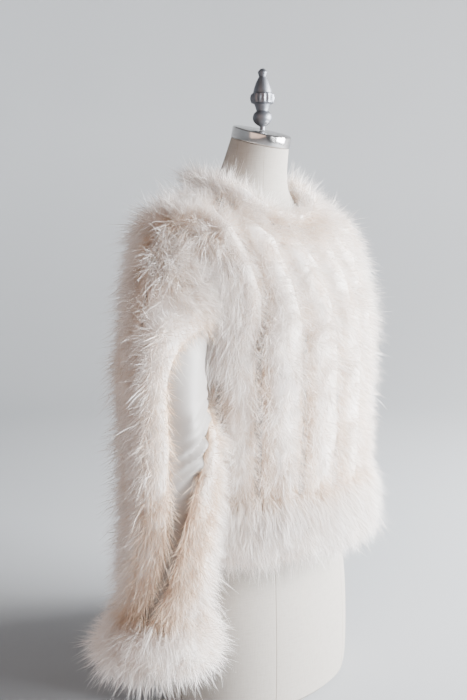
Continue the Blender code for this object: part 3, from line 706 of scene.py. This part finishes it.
def scattered(rng, corners, faces, count):
    """Random points on triangles, evenly by area, and the triangles they are on."""
    a, b, c = corners[faces].transpose(1, 0, 2)
    areas = face_areas(corners, faces)
    pick = rng.choice(len(faces), count, p=areas / areas.sum())
    u, v = rng.random((2, count, 1))
    over = u + v > 1.0
    u, v = np.where(over, 1.0 - u, u), np.where(over, 1.0 - v, v)
    return a[pick] + u * (b - a)[pick] + v * (c - a)[pick], pick


def unit(vectors):
    return vectors / np.maximum(np.linalg.norm(vectors, axis=-1, keepdims=True), 1e-9)


Boa = namedtuple("Boa", "node corners outer line ring area")


def read_boa(node, tree, ring):
    """A boa's cord and its outer faces, from its CAD solid."""
    corners, faces = node_mesh(node)
    gaps = np.array([tree.find_nearest(Vector(corner))[3] for corner in corners])
    sewn = gaps < gaps.min() + SEWN_GAP
    outer = faces[~sewn[faces].all(axis=1)]
    area = face_areas(corners, outer).sum()
    return Boa(node, corners, outer, cord_line(corners[sewn], ring), ring, area)


def tufts(rng, points, length):
    """Soft random waves over space, from about -1 to 1, that gather the down into tufts."""
    ways = rng.normal(0, 2.2 / length, (3, 6))
    return np.sin(points @ ways + rng.uniform(0, 2 * math.pi, 6)).sum(axis=-1) / 2.6


# Where feathers end and start, which way is out there and how pale they are with painted shade
Spots = namedtuple("Spots", "ends feet out pallor")
Barbs = namedtuple("Barbs", "feet middles tips out reach tint")


def grounded(points, boa, tree):
    """Where down that ends at points starts, which way is out there and how high the points are.

    Near the cord the down starts at the cord, and further off at the cloth under it.
    """
    ground = np.array([tree.find_nearest(Vector(point))[0] for point in points])
    cord = nearest_on_line(points, boa.line, boa.ring)[1]
    aside = np.linalg.norm(ground - cord, axis=1)
    share = ((aside - CORD_NEAR) / CORD_FAR).clip(0.0, 1.0)
    height = np.linalg.norm(points - ground, axis=1)
    return cord + (ground - cord) * share[:, None], unit(points - ground), height


def boa_spots(rng, boa, tree, count, fill, neighbour):
    """Where a boa's feathers end and start.

    neighbour is the boa on the other side of a row that has bare cloth beside it, or None.
    """
    ends, _ = scattered(rng, boa.corners, boa.outer, count)
    feet, out, height = grounded(ends, boa, tree)
    level = np.full(len(ends), fill)
    # Painted shade: down that ends low, as in the partings between rows, is darker
    pallor = height / settings().boa.shade_depth
    pallor = pallor.clip(PAINTED_PARTING_SHADE, RING_PALLOR if boa.ring else 1.0)
    if neighbour:
        cord = nearest_on_line(ends, boa.line, False)[1]
        away = unit(cord - nearest_on_line(cord, neighbour.line, False)[1])
        side = (np.einsum("fk,fk->f", ends - cord, away) / BARE_SIDE_WIDTH).clip(0.0, 1.0)
        bare = ((ends[:, 2] - BARE_FROM_Z) / BARE_RUN_Z).clip(0.0, 1.0)
        level = fill * (1.0 - side) + PARTING_FILL * side * (1.0 - bare)
        # Painted shade in the groove below the strip, less where the strip is bare
        pallor = pallor * (1.0 - GROOVE_SHADE * side * (1.0 - STRIP_RELIEF * bare))
        ragged = rng.normal(-BARE_SIDE_TRIM, BARE_SIDE_RAGGED, len(ends))
        ends = feet + (ends - feet) * (1.0 + ragged * side * bare)[:, None]
    return Spots(ends + out * np.clip(level - height, 0.0, fill)[:, None], feet, out, pallor)


def seam_spots(rng, seam, count):
    """Feathers on the bare cloth beside a seam, so that the down runs on over it."""
    corners, faces = node_mesh(seam.cloth)
    middle = np.array(seam.middle)
    a, b, c = corners[faces].transpose(1, 0, 2)
    normals = unit(np.cross(b - a, c - a))
    spread = (a + b + c) / 3 - middle
    outer = np.einsum("fk,fk->f", spread, normals) > 0
    faces, normals = faces[outer], normals[outer]
    feet, pick = scattered(rng, corners, faces, count * SEAM_TRIES)
    out = normals[pick]
    other = cloth_tree(seam.beside)
    near = np.array([other.find_nearest(Vector(foot))[3] for foot in feet])
    keep = np.flatnonzero((near < seam.reach) & (feet[:, 2] > seam.lowest))[:count]
    feet, out = feet[keep], out[keep]
    return Spots(feet + out * seam.pile, feet, out, np.full(len(feet), RING_PALLOR))


def kept_in(points):
    """Points held inside the CAD model's box and the little that down may stand proud of it."""
    low, high = (np.array(corner) for corner in CAD_BOX)
    return points.clip(low - PROUD, high + PROUD)


def height_shade(points, feet, out, pile):
    """How far out of the pile points are, from 0 at the cloth to 1 at the pile's face, for the painted shade
    deep in the down.
    """
    height = ((points - feet) * out).sum(axis=-1)
    return (height / np.maximum(pile, settings().boa.shade_depth)).clip(0.0, 1.0)


def grow_barbs(rng, spots, kind, lean_down):
    """Barbs of one kind, a few to a feather, that lean out from the cord and down."""
    looks = settings().boa
    each = looks.barbs_to_feather
    feathers = len(spots.ends)
    radial = spots.ends - spots.feet
    radial = radial * (looks.pile + looks.tufting * tufts(rng, spots.ends, TUFT_LENGTH))[:, None]
    depth = np.linalg.norm(radial, axis=1)[:, None]
    ways = radial / depth
    fall = np.array((0.0, 0.0, -1.0)) + ways * ways[:, 2:]
    lean = fall * looks.droop * lean_down + unit(rng.normal(0, 1, (feathers, 3))) * looks.ruffle
    lean = lean * depth.clip(*LEAN_PILE) * rng.uniform(0.6, 1.4, (feathers, 1))
    shape = (feathers, each, 1)
    radial, start, lean, out = radial[:, None], spots.feet[:, None], lean[:, None], spots.out[:, None]
    fan = looks.spread * rng.normal(0, 1, (feathers, each, 3)).clip(-1.9, 1.9)
    feet = start + radial * rng.uniform(*kind.foot, shape) + fan * 0.45
    tips = start + radial * rng.uniform(*kind.tip, shape) + lean * rng.uniform(0.7, 1.3, shape) + fan
    middles = (feet + tips) / 2 + radial * kind.bow * rng.uniform(0.3, 1.0, shape) - lean * 0.12
    points = kept_in(np.stack((feet, middles, tips), axis=2))
    top = (radial * out).sum(axis=-1)[:, :, None]
    # Painted shade: the deeper in the pile a point of a barb lies, and the nearer its foot, the darker it is
    reach = PAINTED_DEPTH_SHADE * height_shade(points, start[:, :, None], out[:, :, None], top) + BARB_PALLOR
    patches = tufts(np.random.default_rng(SEED), spots.ends, PATCH_LENGTH)
    pallor = spots.pallor * (1.0 - looks.patches * (patches + 1.0).clip(0.0, 2.0))
    reach = reach * pallor[:, None, None]
    points, reach = points.reshape(-1, 3, 3), reach.reshape(-1, 3)
    return Barbs(
        points[:, 0], points[:, 1], points[:, 2], np.repeat(spots.out, each, axis=0), reach,
        np.repeat(rng.random(feathers), each))


def ribbon_frames(rng, barbs, width):
    """The way across each barb, turned so that its face looks outwards, scaled to its width."""
    count = len(barbs.feet)
    runs = unit(barbs.tips - barbs.feet)
    across = unit(np.cross(runs, rng.normal(0, 1, (count, 3)) + barbs.out))
    facing = np.einsum("bk,bk->b", np.cross(across, runs), barbs.out)
    across = across * np.where(facing < 0, -1.0, 1.0)[:, None]
    return across * width * rng.uniform(0.7, 1.25, (count, 1)) / 2


def down_mesh(rng, name, down, wisps):
    """A mesh of straight barbs, one triangle each, and bowed wisps, a quad and a triangle each."""
    width = settings().boa.barb_width
    half = ribbon_frames(rng, down, width * 1.25)
    short = np.stack((down.feet - half, down.feet + half, down.tips), axis=1)
    half = ribbon_frames(rng, wisps, width)
    bowed = np.stack((
        wisps.feet - half, wisps.feet + half, wisps.middles + half * 0.85, wisps.middles - half * 0.85,
        wisps.tips), axis=1)
    n_short, n_bowed = len(short), len(bowed)
    corners = np.concatenate((short.reshape(-1, 3), bowed.reshape(-1, 3)))
    firsts = n_short * 3 + np.arange(n_bowed)[:, None] * 5
    loops = np.concatenate((
        np.arange(n_short * 3), np.concatenate((firsts + (0, 1, 2, 3), firsts + (3, 2, 4)), axis=1).ravel()))
    pairs = n_short * 3 + np.arange(n_bowed)[:, None] * 7 + (0, 4)
    starts = np.concatenate((np.arange(n_short) * 3, pairs.ravel()))
    mesh = bpy.data.meshes.new(name)
    mesh.vertices.add(len(corners))
    mesh.vertices.foreach_set("co", corners.ravel())
    mesh.loops.add(len(loops))
    mesh.loops.foreach_set("vertex_index", loops.astype(np.int32))
    mesh.polygons.add(len(starts))
    mesh.polygons.foreach_set("loop_start", starts.astype(np.int32))
    mesh.update(calc_edges=True)
    reach = np.concatenate((down.reach[:, (0, 0, 2)].ravel(), wisps.reach[:, (0, 0, 1, 1, 2)].ravel()))
    tint = np.concatenate((np.repeat(down.tint, 3), np.repeat(wisps.tint, 5)))
    write_attribute(mesh, "reach", reach)
    write_attribute(mesh, "tint", tint)
    return mesh


def joined(groups):
    return Barbs(*(np.concatenate(values) for values in zip(*groups)))


def write_attribute(mesh, name, values):
    layer = mesh.attributes.new(name, "FLOAT", "POINT")
    layer.data.foreach_set("value", np.ascontiguousarray(values, dtype=np.float32))


def undercoat(rng, boa, tree, name):
    """The dense down of a boa: its CAD solid drawn in towards the cord."""
    share = settings().boa.core
    piece = node_copy(boa.node, name)
    subdivide(piece, 1)
    corners = corners_of(piece.data)
    feet, out, height = grounded(corners, boa, tree)
    lumps = tufts(rng, corners, LUMP_LENGTH)
    corners = feet + (corners - feet) * (share + 0.08 * lumps)[:, None]
    move_corners(piece.data, corners)
    # Painted shade: the undercoat is darker towards the cloth
    write_attribute(piece.data, "reach", CORE_PALLOR * height_shade(corners, feet, out, height))
    write_attribute(piece.data, "tint", (0.5 + 0.4 * lumps).clip(0.0, 1.0))
    smooth(piece, math.pi)
    return piece


def make_fur(trim, density, finish):
    """All the down of one group of boas, as one piece."""
    looks = settings().boa
    rng = np.random.default_rng(SEED + sum(map(ord, trim.piece)))
    tree = cloth_tree(trim.cloths)
    feathers = density / looks.barbs_to_feather
    parts, down, wisps = [], [], []
    boas = [read_boa(node, tree, trim.ring) for node in trim.boas]
    neighbours = {boas[0].node: boas[1], boas[-1].node: boas[-2]} if trim.bare_sides else {}
    for boa in boas:
        for share, kind, barbs in ((1.0 - looks.wisps, DOWN, down), (looks.wisps, WISP, wisps)):
            count = int(boa.area * feathers * share)
            spots = boa_spots(rng, boa, tree, count, trim.fill, neighbours.get(boa.node))
            barbs.append(grow_barbs(rng, spots, kind, trim.lean))
        parts.append(undercoat(rng, boa, tree, f"{trim.piece}_down"))
    for seam in trim.seams:
        for share, kind, barbs in ((1.0 - looks.wisps, SEAM_DOWN, down), (looks.wisps, WISP, wisps)):
            spots = seam_spots(rng, seam, int(seam.area * feathers * share))
            barbs.append(grow_barbs(rng, spots, kind, SEAM_LEAN))
    piece = bpy.data.objects.new(trim.piece, down_mesh(rng, trim.piece, joined(down), joined(wisps)))
    bpy.context.scene.collection.objects.link(piece)
    bpy.ops.object.select_all(action="DESELECT")
    for part in parts:
        part.select_set(True)
    piece.select_set(True)
    bpy.context.view_layer.objects.active = piece
    bpy.ops.object.join()
    settle(piece, finish, trim.boas)


def fur_density():
    """Barbs to a square metre of the boas' outer faces."""
    area = 0.0
    for trim in BODY_TRIMS + SLEEVE_TRIMS + EDGE_TRIMS:
        for node in trim.boas:
            area += face_areas(*node_mesh(node)).sum() * OUTER_SHARE
    return settings().boa.barbs / area


def grow_all(trims):
    """The down of several groups of boas, in the one finish."""
    finish = bpy.data.materials.get("marabou_down") or marabou_finish()
    density = fur_density()
    for trim in trims:
        make_fur(trim, density, finish)


class JACKET_OT_body_fur(bpy.types.Operator):
    """Grows the marabou on the fronts and the back"""

    bl_idname = "jacket.body_fur"
    bl_label = "Body boas"

    def execute(self, context):
        grow_all(BODY_TRIMS)
        return {"FINISHED"}


class JACKET_OT_sleeve_fur(bpy.types.Operator):
    """Grows the marabou on the sleeves"""

    bl_idname = "jacket.sleeve_fur"
    bl_label = "Sleeve boas"

    def execute(self, context):
        grow_all(SLEEVE_TRIMS)
        return {"FINISHED"}


class JACKET_OT_edge_fur(bpy.types.Operator):
    """Grows the marabou round the neck, the hem and the cuffs"""

    bl_idname = "jacket.edge_fur"
    bl_label = "Edge boas"

    def execute(self, context):
        grow_all(EDGE_TRIMS)
        return {"FINISHED"}


# The satin


def split_upright(piece, cuts):
    """Cuts the upright edges of a piece, for folds finer than its faces."""
    take(piece)
    bpy.ops.object.mode_set(mode="EDIT")
    bpy.ops.mesh.select_mode(type="EDGE")
    bpy.ops.mesh.select_all(action="DESELECT")
    bpy.ops.object.mode_set(mode="OBJECT")
    corners = corners_of(piece.data)
    for edge in piece.data.edges:
        run = corners[edge.vertices[1]] - corners[edge.vertices[0]]
        edge.select = abs(run[2]) > UPRIGHT * np.linalg.norm(run)
    bpy.ops.object.mode_set(mode="EDIT")
    bpy.ops.mesh.subdivide(number_cuts=cuts)
    bpy.ops.mesh.select_mode(type="VERT")
    bpy.ops.object.mode_set(mode="OBJECT")


def tube_middles(corners):
    """The middle of a hanging sleeve at the height of each of its corners."""
    levels = np.arange(corners[:, 2].min(), SLEEVE_TOP, SLEEVE_STEP)
    middles = []
    for level in levels:
        ring = corners[abs(corners[:, 2] - level) < SLEEVE_STEP]
        middles.append((ring.min(axis=0) + ring.max(axis=0)) / 2)
    middles = np.array(middles)
    heights = corners[:, 2].clip(levels[0], levels[-1])
    return np.stack([np.interp(heights, levels, middles[:, axis]) for axis in (0, 1)], axis=1)


def gather_sleeve(piece, seam_boa):
    """Presses soft gathers into a sleeve beside its seam, and long shallow folds down it."""
    satin = settings().satin
    corners = corners_of(piece.data)
    away = np.zeros_like(corners)
    away[:, :2] = corners[:, :2] - tube_middles(corners)
    around = np.arctan2(away[:, 1], away[:, 0])
    tree = cloth_tree([seam_boa])
    apart = np.array([tree.find_nearest(Vector(corner))[3] for corner in corners])
    height = corners[:, 2]
    beside = np.exp(-(apart / PUCKER_REACH) ** 2)
    window = np.exp(-((height - PUCKER_Z) / PUCKER_RUN) ** 2)
    waves = 2 * math.pi * height / satin.pucker_length + PUCKER_SLANT * apart
    gathers = satin.pucker * beside * window * (np.sin(waves) + 0.5 * np.sin(0.61 * waves + 1.3))
    hanging = 1.0 - ((height - PUCKER_Z) / (SLEEVE_TOP - PUCKER_Z)).clip(0.0, 1.0) ** 2
    folds = satin.fold * hanging * np.sin(FOLDS * around + FOLD_TWIST * height + 0.6 * np.sin(30.0 * height))
    move_corners(piece.data, corners + unit(away) * (gathers + folds)[:, None])


class JACKET_OT_satin(bpy.types.Operator):
    """Cuts the satin shell: two fronts, a back and two sleeves"""

    bl_idname = "jacket.satin"
    bl_label = "Satin shell"

    def execute(self, context):
        finish = satin_finish()
        for cut in CUTS:
            piece = node_copy(cut.node, f"satin_{cut.node}")
            crease_edges(piece, math.radians(50))
            if cut.seam_boa:
                split_upright(piece, 2)
            subdivide(piece, 2)
            if cut.seam_boa:
                gather_sleeve(piece, cut.seam_boa)
            smooth(piece, math.radians(50))
            settle(piece, finish, [cut.node])
        return {"FINISHED"}


class JACKET_OT_form(bpy.types.Operator):
    """Covers the dress form's torso in linen"""

    bl_idname = "jacket.form"
    bl_label = "Dress form"

    def execute(self, context):
        torso = node_copy("form_torso", "form_cover")
        crease_edges(torso, math.radians(40))
        subdivide(torso, 2)
        smooth(torso, math.radians(40))
        settle(torso, linen_finish(), ["form_torso"])
        return {"FINISHED"}


def flute_collar(piece):
    """Cuts upright flutes into the finial's collar."""
    form = settings().form
    corners = corners_of(piece.data)
    axis = (corners.min(axis=0) + corners.max(axis=0)) / 2
    away = corners - axis
    away[:, 2] = 0.0
    around = np.arctan2(away[:, 1], away[:, 0])
    height = corners[:, 2] - corners[:, 2].min()
    band = np.exp(-((height - COLLAR_HEIGHT) / COLLAR_RUN) ** 4)
    cut = form.flute * band * (np.cos(FLUTES * around) - 1.0) / 2
    move_corners(piece.data, corners + unit(away) * cut[:, None])


class JACKET_OT_metal(bpy.types.Operator):
    """Turns the neck cap and the finial"""

    bl_idname = "jacket.metal"
    bl_label = "Cap and finial"

    def execute(self, context):
        form = settings().form
        cap = node_copy("form_neck_cap", "neck_cap")
        take(cap)
        rim = cap.modifiers.new("Rim", "BEVEL")
        rim.width = form.rim
        rim.segments = 3
        bpy.ops.object.modifier_apply(modifier=rim.name)
        smooth(cap, math.radians(40))
        nickel = metal_finish("nickel", form.nickel, roughness=0.16, spots=60.0)
        settle(cap, nickel, ["form_neck_cap"])
        finial = node_copy("form_finial", "finial")
        crease_edges(finial, math.radians(40))
        subdivide(finial, 2)
        flute_collar(finial)
        smooth(finial, math.radians(40))
        pewter = metal_finish("pewter", form.pewter, roughness=0.46, spots=90.0)
        settle(finial, pewter, ["form_finial"])
        return {"FINISHED"}


class JACKET_OT_stage(bpy.types.Operator):
    """Sets up the camera, the light and a plain pale backdrop"""

    bl_idname = "jacket.stage"
    bl_label = "Stage"

    def execute(self, context):
        stage = settings().stage
        backdrop = spun("backdrop", self.backdrop_profile(), 96)
        take(backdrop)
        bpy.ops.object.mode_set(mode="EDIT")
        bpy.ops.mesh.select_all(action="SELECT")
        bpy.ops.mesh.flip_normals()
        bpy.ops.object.mode_set(mode="OBJECT")
        smooth(backdrop, math.pi)
        backdrop.data.materials.append(wall_finish())
        forward = Vector((math.sin(stage.camera_turn), math.cos(stage.camera_turn), 0.0))
        right = forward.cross(UP)
        place = -forward * stage.camera_distance + UP * stage.camera_height
        look = forward * math.cos(stage.camera_yaw) - right * math.sin(stage.camera_yaw)
        look = look * math.cos(stage.camera_pitch) - UP * math.sin(stage.camera_pitch)
        bpy.ops.object.camera_add(location=place, rotation=look.to_track_quat("-Z", "Y").to_euler())
        camera = context.object
        camera.data.sensor_width = 36.0
        camera.data.lens = stage.lens
        context.scene.camera = camera
        axes = (right, forward, UP)
        key = self.area_light(WINDOW, axes, stage.key_power)
        key.spread = stage.key_spread
        key.color = stage.key_colour
        self.area_light(FILL, axes, stage.fill_power).color = stage.fill_colour
        self.area_light(WALL_WASH, axes, stage.wash_power)
        world = bpy.data.worlds.new("sky")
        world.use_nodes = True
        sky = world.node_tree.nodes["Background"]
        sky.inputs["Color"].default_value = SKY_COLOUR
        sky.inputs["Strength"].default_value = stage.sky
        context.scene.world = world
        return {"FINISHED"}

    def backdrop_profile(self):
        """A wide bowl: a flat floor that sweeps up into a wall all round."""
        profile = [(0.0, 0.0), (FLOOR_RADIUS * 0.5, 0.0), (FLOOR_RADIUS, 0.0)]
        for step in range(1, SWEEP_STEPS + 1):
            angle = step / SWEEP_STEPS * math.pi / 2
            radius = FLOOR_RADIUS + SWEEP_RADIUS * math.sin(angle)
            profile.append((radius, SWEEP_RADIUS * (1 - math.cos(angle))))
        profile.append((FLOOR_RADIUS + SWEEP_RADIUS, WALL_HEIGHT))
        return profile

    def area_light(self, lamp, axes, power):
        """A square light, placed and aimed along the camera's axes."""
        to_world = Matrix(axes).transposed()
        place, target = to_world @ Vector(lamp.place), to_world @ Vector(lamp.target)
        turn = (target - place).to_track_quat("-Z", "Y").to_euler()
        bpy.ops.object.light_add(type="AREA", location=place, rotation=turn)
        light = bpy.context.object
        light.name = lamp.name
        light.data.size = lamp.width
        light.data.energy = power
        return light.data


OPERATORS = (
    JACKET_OT_stage,
    JACKET_OT_form,
    JACKET_OT_metal,
    JACKET_OT_satin,
    JACKET_OT_body_fur,
    JACKET_OT_sleeve_fur,
    JACKET_OT_edge_fur,
)


class JACKET_PT_panel(bpy.types.Panel):
    """Lists the pieces of the jacket and its form"""

    bl_idname = "JACKET_PT_panel"
    bl_label = "Marabou Jacket"
    bl_space_type = "VIEW_3D"
    bl_region_type = "UI"
    bl_category = "Jacket"

    def draw(self, context):
        column = self.layout.column()
        for operator in OPERATORS:
            column.operator(operator.bl_idname, text=operator.bl_label)
        for group in (settings().stage, settings().form, settings().satin, settings().boa):
            box = column.box()
            for name in group.__annotations__:
                box.prop(group, name)


CLASSES = (StageSettings, FormSettings, SatinSettings, BoaSettings, JacketSettings) + OPERATORS + (
    JACKET_PT_panel,
)


def register():
    for kind in CLASSES:
        bpy.utils.register_class(kind)
    bpy.types.Scene.jacket = PointerProperty(type=JacketSettings)


def unregister():
    del bpy.types.Scene.jacket
    for kind in reversed(CLASSES):
        bpy.utils.unregister_class(kind)


def main():
    register()
    for operator in OPERATORS:
        family, name = operator.bl_idname.split(".")
        getattr(getattr(bpy.ops, family), name)()


if __name__ == "__main__":
    main()
